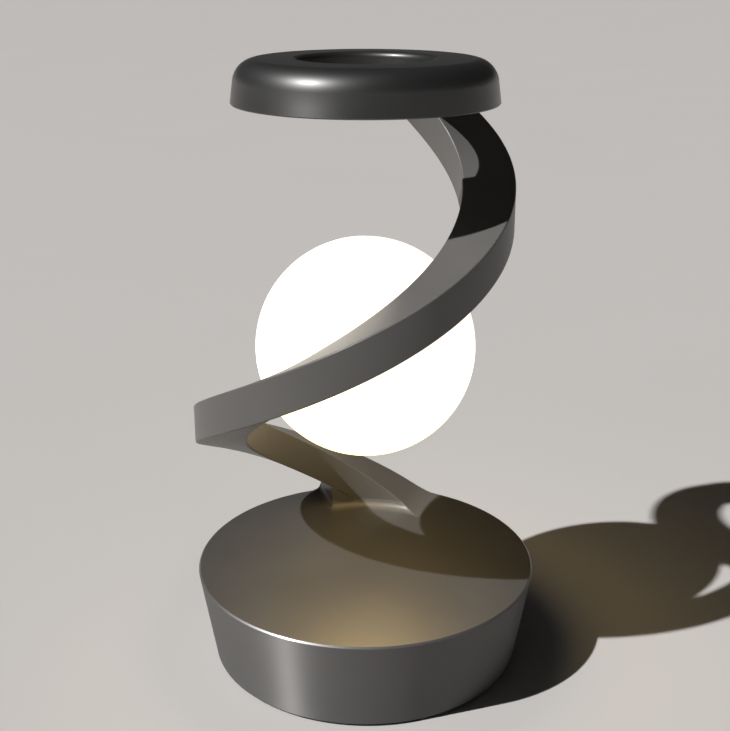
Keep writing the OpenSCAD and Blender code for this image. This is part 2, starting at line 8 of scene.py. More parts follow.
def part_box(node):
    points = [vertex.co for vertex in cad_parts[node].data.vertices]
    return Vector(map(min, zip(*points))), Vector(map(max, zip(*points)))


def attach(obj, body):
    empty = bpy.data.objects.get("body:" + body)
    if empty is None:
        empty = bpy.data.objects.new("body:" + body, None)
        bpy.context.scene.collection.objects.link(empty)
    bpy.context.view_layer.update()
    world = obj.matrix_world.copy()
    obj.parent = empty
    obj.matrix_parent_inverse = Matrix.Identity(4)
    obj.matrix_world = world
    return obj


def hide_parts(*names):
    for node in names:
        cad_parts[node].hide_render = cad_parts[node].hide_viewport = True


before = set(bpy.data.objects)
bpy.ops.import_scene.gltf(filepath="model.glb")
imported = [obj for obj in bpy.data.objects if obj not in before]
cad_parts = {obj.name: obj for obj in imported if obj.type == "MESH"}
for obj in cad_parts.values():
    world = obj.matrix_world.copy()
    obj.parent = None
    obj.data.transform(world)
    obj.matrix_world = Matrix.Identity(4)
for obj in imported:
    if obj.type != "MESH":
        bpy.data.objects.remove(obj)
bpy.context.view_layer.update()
scene = bpy.context.scene

# levels that every piece is set out from, in metres
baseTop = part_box("base_shell")[1].z
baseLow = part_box("base_shell")[0].z
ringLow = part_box("ring_shell")[0].z
globeLow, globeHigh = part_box("globe_shell")
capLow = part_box("globe_cap")[0].z
globeRadius = (globeHigh.x - globeLow.x) / 2
globeMiddle = capLow + globeRadius
print("frame: base top %.4f, ring %.4f, globe %.4f" % (baseTop, ringLow, globeMiddle))


# camera, set out from the photographed outlines of the base, the ring and the globe
cameraSet = {
    "place": (-0.00017, -0.3830, 0.2416), "tiltDeg": 70.61, "lens": 58.34, "sensor": 36.0, "nearest": 0.01,
}


def makeCamera():
    data = bpy.data.cameras.new("lampCamera")
    data.lens = cameraSet["lens"]
    data.sensor_width = cameraSet["sensor"]
    data.clip_start = cameraSet["nearest"]
    camera = bpy.data.objects.new("lampCamera", data)
    camera.location = cameraSet["place"]
    camera.rotation_euler = (math.radians(cameraSet["tiltDeg"]), 0, 0)
    scene.collection.objects.link(camera)
    scene.camera = camera


makeCamera()
print("camera: ready")


# small helpers for meshes
onAxis = 1e-7  # a lathe point with less radius than this is on the axis


def linkMesh(name, mesh):
    piece = bpy.data.objects.new(name, mesh)
    scene.collection.objects.link(piece)
    return piece


def meshFrom(name, points, faces):
    mesh = bpy.data.meshes.new(name)
    mesh.from_pydata(points, [], faces)
    return mesh


def tidyMesh(mesh, merge=1e-6):
    work = bmesh.new()
    work.from_mesh(mesh)
    bmesh.ops.remove_doubles(work, verts=work.verts, dist=merge)
    bmesh.ops.recalc_face_normals(work, faces=work.faces)
    work.to_mesh(mesh)
    work.free()


def addMesh(piece, mesh):
    work = bmesh.new()
    work.from_mesh(piece.data)
    work.from_mesh(mesh)
    work.to_mesh(piece.data)
    work.free()
    bpy.data.meshes.remove(mesh)


def shadeByAngle(mesh, degrees):
    work = bmesh.new()
    work.from_mesh(mesh)
    limit = math.radians(degrees)
    for edge in work.edges:
        edge.smooth = len(edge.link_faces) == 2 and edge.calc_face_angle(0) < limit
    for face in work.faces:
        face.smooth = True
    work.to_mesh(mesh)
    work.free()


def bakeModifiers(piece):
    graph = bpy.context.evaluated_depsgraph_get()
    mesh = bpy.data.meshes.new_from_object(piece.evaluated_get(graph))
    old = piece.data
    piece.modifiers.clear()
    piece.data = mesh
    mesh.name = piece.name
    bpy.data.meshes.remove(old)


def evenNormals(piece, degrees):
    shadeByAngle(piece.data, degrees)
    weigh = piece.modifiers.new("evenNormals", "WEIGHTED_NORMAL")
    weigh.keep_sharp = True
    bakeModifiers(piece)


def cutAway(piece, cutter, crossing=False):
    # crossing is for a cutter whose own faces cross
    cut = piece.modifiers.new("cutAway", "BOOLEAN")
    cut.operation = "DIFFERENCE"
    cut.solver = "EXACT"
    cut.use_self = crossing
    cut.object = cutter
    bakeModifiers(piece)
    bpy.data.objects.remove(cutter)


def lathe(name, profile, steps, closed=False):
    points, faces, rows = [], [], []
    for radius, level in profile:
        if radius < onAxis:
            rows.append([len(points)] * steps)
            points.append((0, 0, level))
            continue
        rows.append(list(range(len(points), len(points) + steps)))
        for k in range(steps):
            turn = 2 * math.pi * k / steps
            points.append((radius * math.cos(turn), radius * math.sin(turn), level))
    pairs = list(zip(rows, rows[1:]))
    if closed:
        pairs.append((rows[-1], rows[0]))
    for low, high in pairs:
        for k in range(steps):
            n = (k + 1) % steps
            corners = [low[k], low[n], high[n], high[k]]
            corners = [c for i, c in enumerate(corners) if c not in corners[:i]]
            if len(corners) > 2:
                faces.append(corners)
    mesh = meshFrom(name, points, faces)
    tidyMesh(mesh)
    return mesh


def loft(name, sections):
    # closed sections with equal counts of points, joined in turn and closed at both ends
    count = len(sections[0])
    points = [point for section in sections for point in section]
    faces = []
    for i in range(len(sections) - 1):
        low, high = i * count, (i + 1) * count
        for k in range(count):
            n = (k + 1) % count
            faces.append((low + k, low + n, high + n, high + k))
    faces.append(tuple(range(count)))
    faces.append(tuple(range(len(points) - count, len(points))))
    return meshFrom(name, points, faces)


def roundCorners(profile, sizes, steps):
    # sizes gives the cut-back of each corner, 0 for one that stays sharp
    result = []
    for i, (point, size) in enumerate(zip(profile, sizes)):
        here = Vector(point)
        if size == 0 or i in (0, len(profile) - 1):
            result.append((here.x, here.y))
            continue
        before = (Vector(profile[i - 1]) - here).normalized() * size
        after = (Vector(profile[i + 1]) - here).normalized() * size
        for k in range(steps + 1):
            t = k / steps
            at = here + before * (1 - t) ** 2 + after * t ** 2
            result.append((at.x, at.y))
    return result


def arc(middle, radius, startDeg, endDeg, steps):
    turns = [math.radians(startDeg + (endDeg - startDeg) * k / steps) for k in range(steps + 1)]
    return [(middle[0] + radius * math.cos(t), middle[1] + radius * math.sin(t)) for t in turns]


# small helpers for node trees
class Field:
    # a node's output that can be added and multiplied like a number
    def __init__(self, tree, socket):
        self.tree = tree
        self.socket = socket

    def op(self, kind, *others):
        node = self.tree.nodes.new("ShaderNodeMath")
        node.operation = kind
        for socket, value in zip(node.inputs, (self,) + others):
            if isinstance(value, Field):
                self.tree.links.new(value.socket, socket)
            else:
                socket.default_value = value
        return Field(self.tree, node.outputs[0])

    def __add__(self, other):
        return self.op("ADD", other)

    def __sub__(self, other):
        return self.op("SUBTRACT", other)

    def __mul__(self, other):
        return self.op("MULTIPLY", other)

    def __truediv__(self, other):
        return self.op("DIVIDE", other)


def namedInputs(tree, kinds):
    # gives a tree its output and its named inputs, and returns each input's identifier
    face = tree.interface
    face.new_socket(name="Geometry", in_out="OUTPUT", socket_type="NodeSocketGeometry")
    names = {}
    for name, kind in kinds.items():
        socket = face.new_socket(name=name, in_out="INPUT", socket_type="NodeSocket" + kind)
        names[name] = socket.identifier
    return names


def endTree(tree, given, geometry):
    real = tree.nodes.new("GeometryNodeRealizeInstances")
    coat = tree.nodes.new("GeometryNodeSetMaterial")
    result = tree.nodes.new("NodeGroupOutput")
    tree.links.new(geometry, real.inputs["Geometry"])
    tree.links.new(real.outputs["Geometry"], coat.inputs["Geometry"])
    tree.links.new(given.outputs["Finish"], coat.inputs["Material"])
    tree.links.new(coat.outputs["Geometry"], result.inputs["Geometry"])


# finishes
def newMaterial(name):
    material = bpy.data.materials.new(name)
    material.use_nodes = True
    tree = material.node_tree
    return material, tree, tree.nodes["Principled BSDF"]


def objectPoints(tree):
    return tree.nodes.new("ShaderNodeTexCoord").outputs["Object"]


def splitPoints(tree, points):
    node = tree.nodes.new("ShaderNodeSeparateXYZ")
    tree.links.new(points, node.inputs["Vector"])
    return [node.outputs[axis] for axis in "XYZ"]


def noise(tree, points, scale, detail=3.0, rough=0.5):
    node = tree.nodes.new("ShaderNodeTexNoise")
    node.inputs["Scale"].default_value = scale
    node.inputs["Detail"].default_value = detail
    node.inputs["Roughness"].default_value = rough
    tree.links.new(points, node.inputs["Vector"])
    return node.outputs["Fac"]


def span(tree, value, low, high, fromLow=0.3, fromHigh=0.7):
    node = tree.nodes.new("ShaderNodeMapRange")
    node.inputs["From Min"].default_value = fromLow
    node.inputs["From Max"].default_value = fromHigh
    node.inputs["To Min"].default_value = low
    node.inputs["To Max"].default_value = high
    tree.links.new(value, node.inputs["Value"])
    return node.outputs["Result"]


def twoTone(tree, value, dark, light, low=0.3, high=0.7):
    node = tree.nodes.new("ShaderNodeValToRGB")
    node.color_ramp.elements[0].position = low
    node.color_ramp.elements[0].color = (*dark, 1)
    node.color_ramp.elements[1].position = high
    node.color_ramp.elements[1].color = (*light, 1)
    tree.links.new(value, node.inputs["Fac"])
    return node.outputs["Color"]


def bump(tree, shader, value, strength, depth):
    node = tree.nodes.new("ShaderNodeBump")
    node.inputs["Strength"].default_value = strength
    node.inputs["Distance"].default_value = depth
    tree.links.new(value, node.inputs["Height"])
    tree.links.new(node.outputs["Normal"], shader.inputs["Normal"])


moulded = {"cloud": 40.0, "grain": 900.0, "grainDetail": 2.0, "bump": 0.3, "depth": 2e-5}


def finish(name, dark, light, rough, metal=0.0, **changes):
    # a moulded or metal finish: soft colour clouds, uneven gloss and a fine grain
    size = dict(moulded, **changes)
    material, tree, shader = newMaterial(name)
    points = objectPoints(tree)
    clouds = noise(tree, points, size["cloud"])
    grains = noise(tree, points, size["grain"], size["grainDetail"])
    tree.links.new(twoTone(tree, clouds, dark, light), shader.inputs["Base Color"])
    tree.links.new(span(tree, grains, *rough), shader.inputs["Roughness"])
    bump(tree, shader, grains, size["bump"], size["depth"])
    shader.inputs["Metallic"].default_value = metal
    return material


flakes = {"cloud": 22.0, "cloudDetail": 4.0, "cells": 2600.0, "bump": 0.12, "depth": 6e-6, "turn": 0.25}


def flakePaint(name, dark, light, rough, metal, coat, gloss, turned=0.0, fade=None, coatRough=0.2):
    # metallic paint: flakes tilt the gloss by cells under a thin coat, and a turned side draws it out
    material, tree, shader = newMaterial(name)
    points = objectPoints(tree)
    clouds = noise(tree, points, flakes["cloud"], flakes["cloudDetail"])
    cells = tree.nodes.new("ShaderNodeTexVoronoi")
    cells.inputs["Scale"].default_value = flakes["cells"]
    tree.links.new(points, cells.inputs["Vector"])
    tree.links.new(twoTone(tree, clouds, dark, light), shader.inputs["Base Color"])
    tree.links.new(span(tree, clouds, *rough), shader.inputs["Roughness"])
    bump(tree, shader, cells.outputs["Distance"], flakes["bump"], flakes["depth"])
    shader.inputs["Anisotropic"].default_value = turned
    if fade:
        level = splitPoints(tree, points)[2]
        tree.links.new(span(tree, level, turned, 0.0, *fade), shader.inputs["Anisotropic"])
    shader.inputs["Anisotropic Rotation"].default_value = flakes["turn"]
    shader.inputs["Metallic"].default_value = metal
    shader.inputs["Specular IOR Level"].default_value = gloss
    shader.inputs["Coat Weight"].default_value = coat
    shader.inputs["Coat Roughness"].default_value = coatRough
    return material


glow = {
    "shell": (0.86, 0.82, 0.74, 1), "rough": (0.5, 0.62), "grain": 700.0, "grainDetail": 2.0,
    "patches": 55.0, "patchDetail": 5.0, "patchRough": 0.55, "bump": 0.15, "depth": 4e-5,
    "lowTone": (1.0, 0.70, 0.26), "highTone": (1.0, 0.90, 0.74), "strengths": (3.2, 1.3),
    "fade": (-0.7, 0.1),  # from low to high, in radii from the globe's middle
}


def globeFinish(name):
    # white shell lit from inside, stronger and warmer low down where the light board is
    material, tree, shader = newMaterial(name)
    points = objectPoints(tree)
    patches = noise(tree, points, glow["patches"], glow["patchDetail"], glow["patchRough"])
    grains = noise(tree, points, glow["grain"], glow["grainDetail"])
    level = splitPoints(tree, points)[2]
    limits = [globeMiddle + globeRadius * share for share in glow["fade"]]
    share = span(tree, level, 0.0, 1.0, *limits)
    tone = twoTone(tree, share, glow["lowTone"], glow["highTone"], 0.0, 1.0)
    tree.links.new(tone, shader.inputs["Emission Color"])
    tree.links.new(span(tree, level, *glow["strengths"], *limits), shader.inputs["Emission Strength"])
    tree.links.new(span(tree, grains, *glow["rough"]), shader.inputs["Roughness"])
    bump(tree, shader, patches, glow["bump"], glow["depth"])
    shader.inputs["Base Color"].default_value = glow["shell"]
    return material


basePaint = flakePaint(
    "basePaint", (0.174, 0.170, 0.168), (0.198, 0.194, 0.191), (0.40, 0.46), metal=0.7, coat=0.3, gloss=0.5)
baseSidePaint = flakePaint(
    "baseSidePaint", (0.144, 0.141, 0.139), (0.160, 0.156, 0.154), (0.57, 0.62), metal=0.28, coat=0.0,
    gloss=0.5, turned=1.0)
armPaint = flakePaint(
    "armPaint", (0.108, 0.105, 0.102), (0.122, 0.118, 0.115), (0.50, 0.56), metal=0.15, coat=0.35,
    gloss=0.25, coatRough=0.3)
ringPaint = flakePaint(
    "ringPaint", (0.100, 0.100, 0.101), (0.114, 0.114, 0.115), (0.42, 0.46), metal=0.9, coat=0.2,
    gloss=0.4, turned=0.6, fade=(ringLow + 0.003, ringLow + 0.013))
globeGlow = globeFinish("globeGlow")
coverBlack = finish("coverBlack", (0.026, 0.026, 0.027), (0.034, 0.034, 0.035), (0.5, 0.62), depth=5e-5)
plateBlack = finish("plateBlack", (0.022, 0.022, 0.023), (0.030, 0.030, 0.031), (0.55, 0.68), depth=6e-5)
buttonBlack = finish("buttonBlack", (0.040, 0.040, 0.041), (0.052, 0.052, 0.053), (0.38, 0.46))
footRubber = finish(
    "footRubber", (0.015, 0.015, 0.015), (0.022, 0.022, 0.022), (0.75, 0.9), grain=1500.0, depth=6e-5)
screwSteel = finish(
    "screwSteel", (0.50, 0.50, 0.51), (0.60, 0.60, 0.61), (0.26, 0.36), metal=1.0, cloud=300.0)
plainSteel = finish("plainSteel", (0.32, 0.32, 0.33), (0.38, 0.38, 0.39), (0.38, 0.5), metal=1.0)
boardGreen = finish("boardGreen", (0.014, 0.105, 0.036), (0.020, 0.150, 0.052), (0.3, 0.4), cloud=160.0)
chipBlack = finish("chipBlack", (0.016, 0.016, 0.018), (0.024, 0.024, 0.026), (0.55, 0.7))
inletMetal = finish("inletMetal", (0.56, 0.56, 0.57), (0.66, 0.66, 0.67), (0.24, 0.34), metal=1.0)
nylonNatural = finish("nylonNatural", (0.72, 0.70, 0.64), (0.82, 0.80, 0.74), (0.45, 0.6))
bobbinBlack = finish("bobbinBlack", (0.020, 0.020, 0.022), (0.030, 0.030, 0.032), (0.5, 0.65))
copperWire = finish(
    "copperWire", (0.48, 0.20, 0.07), (0.64, 0.29, 0.11), (0.28, 0.4), metal=1.0, cloud=500.0)
ferriteDark = finish(
    "ferriteDark", (0.07, 0.07, 0.075), (0.11, 0.11, 0.115), (0.6, 0.78), cloud=300.0, depth=8e-5)
magnetPlate = finish("magnetPlate", (0.56, 0.56, 0.57), (0.64, 0.64, 0.65), (0.16, 0.24), metal=1.0)
ledWhite = finish("ledWhite", (0.80, 0.80, 0.80), (0.88, 0.88, 0.88), (0.4, 0.5))
ledPhosphor = finish("ledPhosphor", (0.90, 0.72, 0.26), (0.96, 0.82, 0.38), (0.3, 0.4))
print("finishes: %d" % len(bpy.data.materials))


def place(piece, body, material, node):
    piece.data.materials.clear()
    piece.data.materials.append(material)
    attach(piece, body)
    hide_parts(node)


# drum base
drum = {
    "topRadius": 0.0600, "footRadius": 0.05475, "rim": 0.0006, "wall": 0.0025, "lid": 0.003,
    "rimRound": 0.00012, "footRound": 0.0004, "lidRound": 0.0008, "roundSteps": 3,
    "inletDeg": 90.0, "inletLevel": 0.01263, "inletWidth": 0.00954, "inletHeight": 0.00386, "inletSteps": 10,
    "buttonDeg": 130.0, "buttonLevel": 0.0130, "buttonHole": 0.0076, "holeSteps": 40,
    "mouthFlare": 0.0004, "cutInside": 0.008, "cutOutside": 0.004,
    "sideLean": 0.4, "sideSkin": 0.0002, "steps": 320, "shadeDeg": 32,
}


def drumRadius(level):
    rise = (level - baseLow) / (baseTop - drum["rim"] - baseLow)
    return drum["footRadius"] + (drum["topRadius"] - drum["footRadius"]) * rise


def inletLoop(grow):
    # round-ended slot of the power inlet, larger by grow all round
    radius = drum["inletHeight"] / 2 + grow
    half = (drum["inletWidth"] - drum["inletHeight"]) / 2
    loop = arc((half, 0), radius, -90, 90, drum["inletSteps"])
    return loop + arc((-half, 0), radius, 90, 270, drum["inletSteps"])


def buttonLoop(grow):
    steps = drum["holeSteps"]
    return arc((0, 0), drum["buttonHole"] / 2 + grow, 0, 360 - 360 / steps, steps - 1)


def cutMouth(piece, name, loopAt, deg, level):
    # a hole through the wall that flares at its outer end
    wall, flare, outside = drumRadius(level), drum["mouthFlare"], drum["cutOutside"]
    hole, mouth = loopAt(0), loopAt(outside + flare)
    loops = [(wall - drum["cutInside"], hole), (wall - flare, hole), (wall + outside, mouth)]
    sections = [[(out, y, z) for y, z in loop] for out, loop in loops]
    cutter = linkMesh(name, loft(name, sections))
    tidyMesh(cutter.data)
    cutter.data.transform(Matrix.Translation((0, 0, level)))
    cutter.data.transform(Matrix.Rotation(math.radians(deg), 4, "Z"))
    cutAway(piece, cutter)


def paintDrumSide(piece):
    piece.data.materials.append(baseSidePaint)
    for face in piece.data.polygons:
        out = math.hypot(face.center.x, face.center.y) - drumRadius(face.center.z)
        upright = abs(face.normal.z) < drum["sideLean"]
        face.material_index = int(upright and out > -drum["sideSkin"])


def makeDrum():
    top, foot, rim = drum["topRadius"], drum["footRadius"], drum["rim"]
    wall, under = drum["wall"], baseTop - drum["lid"]
    profile = [
        (0, baseTop), (top - rim, baseTop), (top, baseTop - rim), (foot, baseLow),
        (foot - wall, baseLow), (drumRadius(under) - wall, under), (0, under),
    ]
    upper, lower = drum["rimRound"], drum["footRound"]
    rounds = [0, upper, upper, lower, lower, drum["lidRound"], 0]
    profile = roundCorners(profile, rounds, drum["roundSteps"])
    piece = linkMesh("baseDrum", lathe("baseDrum", profile, drum["steps"]))
    cutMouth(piece, "inletMouth", inletLoop, drum["inletDeg"], drum["inletLevel"])
    cutMouth(piece, "buttonMouth", buttonLoop, drum["buttonDeg"], drum["buttonLevel"])
    evenNormals(piece, drum["shadeDeg"])
    place(piece, "stand", basePaint, "base_shell")
    paintDrumSide(piece)


makeDrum()
print("drum base: ready")


# ring head
ring = {
    "radius": 0.0430, "hole": 0.0214, "height": 0.0138, "draftDeg": 8.0, "fallDeg": 0.5,
    "shoulder": 0.0075, "shoulderSteps": 20, "lip": 0.0018, "lipLeast": 0.0004, "lipSteps": 10,
    "wall": 0.0022, "footCut": 0.00035, "footLean": 0.14, "steps": 320, "shadeDeg": 28,
}


def ringPath(inset):
    # half section from the bottom of the outer side, over the shoulder and the lip, to the bottom of the hole
    draft, fall = math.radians(ring["draftDeg"]), math.radians(ring["fallDeg"])
    side = Vector((math.cos(draft), math.sin(draft)))
    top = Vector((math.sin(fall), math.cos(fall)))
    hole = ring["hole"] + inset
    lip = max(ring["lip"] - inset, ring["lipLeast"])
    shoulder = ring["shoulder"] - inset
    sideReach = side.x * ring["radius"] - inset
    topReach = top.dot(Vector((ring["hole"] + ring["lip"], ring["height"]))) - inset
    spread = side.x * top.y - top.x * side.y
    corner = (
        ((sideReach - shoulder) * top.y - (topReach - shoulder) * side.y) / spread,
        (side.x * (topReach - shoulder) - top.x * (sideReach - shoulder)) / spread,
    )
    lipAt = (hole + lip, (topReach - lip - top.x * (hole + lip)) / top.y)
    path = [(sideReach / side.x, 0)]
    path += arc(corner, shoulder, ring["draftDeg"], 90 - ring["fallDeg"], ring["shoulderSteps"])
    path += arc(lipAt, lip, 90 - ring["fallDeg"], 180, ring["lipSteps"])
    path.append((hole, 0))
    return path


def makeRing():
    outer, inner = ringPath(0), ringPath(ring["wall"])
    cut = ring["footCut"]
    lowEdge = [(outer[0][0] - cut, 0), (outer[0][0] - cut * ring["footLean"], cut)]
    holeEdge = [(outer[-1][0], cut), (outer[-1][0] + cut, 0)]
    profile = lowEdge + outer[1:-1] + holeEdge + list(reversed(inner))
    profile = [(r, ringLow + z) for r, z in profile]
    piece = linkMesh("ringHead", lathe("ringHead", profile, ring["steps"], closed=True))
    evenNormals(piece, ring["shadeDeg"])
    place(piece, "stand", ringPaint, "ring_shell")


makeRing()
print("ring head: ready")


# spiral arm, by a node tree
arm = {
    "Start Angle": math.radians(64), "Sweep Angle": math.radians(339),
    "Base Level": baseTop, "Climb": ringLow - baseTop, "Ease": 0.07,
    "Foot Radius": 0.0498, "Half Radius": 0.04845, "Top Radius": 0.0342,
    "Foot Width": 0.018, "Top Width": 0.017, "Bar Height": 0.0138, "Edge Round": 0.0006,
    "Toe Blend": 0.0036, "Foot Sink": 0.0008, "Head Sink": 0.0009,
    "Foot Reach": 0.0177, "Foot Round": 0.0029,
}
armSteps = {"Bar Steps": 900, "Fillet Steps": 40, "Edge Steps": 4}
armBlock = {"firstRay": -0.02, "rays": 1.05, "tip": 0.02, "narrow": 0.993}
armFoot = {
    "innerRound": 0.0034, "outerRound": 0.0005, "lap": 0.0006, "proud": 0.00002, "crest": 0.0003,
    "roundSteps": 12, "stations": 120, "cornerSteps": 12, "tipRise": 0.0001, "merge": 1e-7, "shadeDeg": 40,
}


def armShare(rise):
    # the share of the climb at which the upper face has that height, leaving out its soft start
    k = 1 + arm["Ease"]
    return (k - math.sqrt(k * k - 4 * arm["Ease"] * rise / arm["Climb"])) / (2 * arm["Ease"])


def armRadius(u):
    foot, half, top = arm["Foot Radius"], arm["Half Radius"], arm["Top Radius"]
    return foot + u * (4 * half - 3 * foot - top) + 2 * u * u * (foot - 2 * half + top)


def armSide(u, side):
    width = arm["Foot Width"] + (arm["Top Width"] - arm["Foot Width"]) * u
    return armRadius(u) + side * width / 2


def armHigh(u):
    # height of the upper face over the base, with its soft start
    toe = arm["Toe Blend"]
    rise = arm["Climb"] * (u + arm["Ease"] * u * (1 - u))
    lift = min(max(rise + toe, 0), toe * 2)
    return lift * lift / (toe * 4) + max(rise - toe, 0)


def armValues():
    corner = armShare(arm["Bar Height"])
    climbRate = arm["Climb"] * (1 + arm["Ease"] * (1 - 2 * corner)) / (arm["Sweep Angle"] * armRadius(corner))
    shares = {
        "First Share": armShare(-arm["Toe Blend"]),
        "Last Share": armShare(arm["Climb"] + arm["Bar Height"] + armFoot["tipRise"]),
        "Corner Share": corner, "Corner Angle": math.atan(climbRate),
    }
    return dict(arm, **shares)


def armTree(sizes):
    tree = bpy.data.node_groups.new("spiralArm", "GeometryNodeTree")
    kinds = dict.fromkeys(sizes, "Float")
    kinds.update(dict.fromkeys(armSteps, "Int"), Finish="Material")
    names = namedInputs(tree, kinds)
    given = tree.nodes.new("NodeGroupInput")
    size = {name: Field(tree, given.outputs[name]) for name in sizes}
    width, height = size["Foot Width"], size["Bar Height"]
    climb, ease = size["Climb"], size["Ease"]

    def bar(steps):
        # a straight bar of unit length with round edges, and its places along, across and up
        line = tree.nodes.new("GeometryNodeCurvePrimitiveLine")
        line.inputs["End"].default_value = (1, 0, 0)
        fine = tree.nodes.new("GeometryNodeResampleCurve")
        outline = tree.nodes.new("GeometryNodeCurvePrimitiveQuadrilateral")
        soften = tree.nodes.new("GeometryNodeFilletCurve")
        soften.mode = "POLY"
        sweep = tree.nodes.new("GeometryNodeCurveToMesh")
        sweep.inputs["Fill Caps"].default_value = True
        where = tree.nodes.new("GeometryNodeInputPosition")
        tree.links.new(line.outputs["Curve"], fine.inputs["Curve"])
        tree.links.new(given.outputs[steps], fine.inputs["Count"])
        tree.links.new(width.socket, outline.inputs["Width"])
        tree.links.new(height.socket, outline.inputs["Height"])
        tree.links.new(outline.outputs["Curve"], soften.inputs["Curve"])
        tree.links.new(given.outputs["Edge Steps"], soften.inputs["Count"])
        tree.links.new(size["Edge Round"].socket, soften.inputs["Radius"])
        tree.links.new(fine.outputs["Curve"], sweep.inputs["Curve"])
        tree.links.new(soften.outputs["Curve"], sweep.inputs["Profile Curve"])
        places = splitPoints(tree, where.outputs["Position"])
        return sweep.outputs["Mesh"], [Field(tree, socket) for socket in places]

    def middleRadius(u):
        foot, half, top = size["Foot Radius"], size["Half Radius"], size["Top Radius"]
        bend = (foot - half * 2 + top) * 2
        return foot + u * (half * 4 - foot * 3 - top) + u * u * bend

    def setOut(mesh, u, across, level):
        # wraps a bar round the lamp's axis: u is the share of the climb
        grown = (size["Top Width"] - width) * u * 0.5
        radius = middleRadius(u) + across + across.op("SIGN") * grown
        turn = size["Start Angle"] + size["Sweep Angle"] * u
        join = tree.nodes.new("ShaderNodeCombineXYZ")
        for axis, value in zip("XYZ", (radius * turn.op("COSINE"), radius * turn.op("SINE"), level)):
            tree.links.new(value.socket, join.inputs[axis])
        move = tree.nodes.new("GeometryNodeSetPosition")
        tree.links.new(mesh, move.inputs["Geometry"])
        tree.links.new(join.outputs["Vector"], move.inputs["Position"])
        return move.outputs["Geometry"]

    def windBar():
        # the bar itself: its upper face climbs out of the base and stops at the ring
        mesh, (along, across, tall) = bar("Bar Steps")
        u = size["First Share"] + along * (size["Last Share"] - size["First Share"])
        rise = climb * (u + ease * u * (u * -1 + 1))
        toe = size["Toe Blend"]
        lift = (rise + toe).op("MAXIMUM", 0.0).op("MINIMUM", toe * 2)
        high = lift * lift / (toe * 4) + (rise - toe).op("MAXIMUM", 0.0)
        high = high.op("MINIMUM", climb + size["Head Sink"])
        low = (rise - height).op("MAXIMUM", size["Foot Sink"] * -1)
        upper = tall.op("GREATER_THAN", 0.0)
        level = size["Base Level"] + low + height * 0.5 + tall + upper * (high - low - height)
        return setOut(mesh, u, across, level)

    def fillCorner():
        # the block in the narrow corner under the foot, as rays from the corner to its end wall and its
        # hollow round
        mesh, (along, across, tall) = bar("Fillet Steps")
        ray = (along * along * armBlock["rays"] + armBlock["firstRay"]) * size["Corner Angle"]
        reach, hollow = size["Foot Reach"], size["Foot Round"]
        lean = reach * ray.op("COSINE") + hollow * ray.op("SINE")
        toRound = lean - (lean * lean - reach * reach).op("MAXIMUM", 0.0).op("SQRT")
        toWall = (reach - hollow) / ray.op("COSINE")
        inRound = ray.op("TANGENT").op("LESS_THAN", hollow / (reach - hollow))
        length = toWall.op("MAXIMUM", toRound * inRound)
        upper = tall.op("GREATER_THAN", 0.0)
        tip = armBlock["tip"]
        distance = length * tip + upper * (length * (1 - tip)) + tall - height * (upper - 0.5)
        corner = size["Corner Share"]
        u = corner + distance * ray.op("COSINE") / (middleRadius(corner) * size["Sweep Angle"])
        level = size["Base Level"] + distance * ray.op("SINE")
        return setOut(mesh, u, across * armBlock["narrow"], level)

    both = tree.nodes.new("GeometryNodeJoinGeometry")
    tree.links.new(windBar(), both.inputs["Geometry"])
    tree.links.new(fillCorner(), both.inputs["Geometry"])
    endTree(tree, given, both.outputs["Geometry"])
    return tree, names


def footRound(side, reach, first, last):
    # a hollow round along one side of the foot that turns the corner to the end wall; where the arm is lower
    # than the round, its upper face runs out to the round
    stations, turns, lap = armFoot["stations"], armFoot["cornerSteps"], armFoot["lap"]
    sections = []
    for i in range(stations + turns + 1):
        u = first + (last - first) * min(i / stations, 1)
        swing = max(i - stations, 0) / turns * math.pi / 2
        bearing = arm["Start Angle"] + arm["Sweep Angle"] * u
        outward = Vector((math.cos(bearing), math.sin(bearing), 0))
        onward = Vector((-outward.y, outward.x, 0))
        edge = outward * armSide(u, side)
        way = outward * (side * reach * math.cos(swing)) + onward * (arm["Foot Round"] * math.sin(swing))
        wide = way.length
        way.normalize()
        high = min(armHigh(u) + armFoot["proud"], wide)
        begin = 180 + math.degrees(math.asin(1 - high / wide))
        hollow = arc((wide, wide), wide, begin, 270, armFoot["roundSteps"])
        crest = min(armFoot["crest"], high / 3)
        section = [(-lap, -lap), (-lap, high), (hollow[0][0] - crest, high)] + hollow[1:] + [(wide, -lap)]
        sections.append([edge + way * x + Vector((0, 0, baseTop + z)) for x, z in section])
    return loft("footRound", sections)


def makeArm():
    sizes = armValues()
    tree, names = armTree(sizes)
    piece = linkMesh("spiralArm", bpy.data.meshes.new("spiralArm"))
    wind = piece.modifiers.new("wind", "NODES")
    wind.node_group = tree
    for name, value in dict(sizes, **armSteps, Finish=armPaint).items():
        wind[names[name]] = value
    bakeModifiers(piece)
    first, corner = sizes["First Share"], sizes["Corner Share"]
    toWall = (arm["Foot Reach"] - arm["Foot Round"]) / (armRadius(corner) * arm["Sweep Angle"])
    addMesh(piece, footRound(-1, armFoot["innerRound"], first, corner + toWall))
    addMesh(piece, footRound(1, armFoot["outerRound"], first, corner + toWall))
    tidyMesh(piece.data, armFoot["merge"])
    evenNormals(piece, armFoot["shadeDeg"])
    place(piece, "stand", armPaint, "spiral_arm")


makeArm()
print("spiral arm: ready")


# globe and its plug
globe = {
    "port": 0.0140, "wall": 0.0022, "edge": 0.0003, "edgeDeg": 0.5, "outerSteps": 90, "innerSteps": 60,
    "plug": 0.01385, "plugHeight": 0.0060, "plugEdge": 0.0003, "plugEdgeDeg": 0.6, "plugSteps": 24,
    "plugLip": (0.00008, 0.00005), "poleDeg": -89, "steps": 192, "shadeDeg": 40,
}


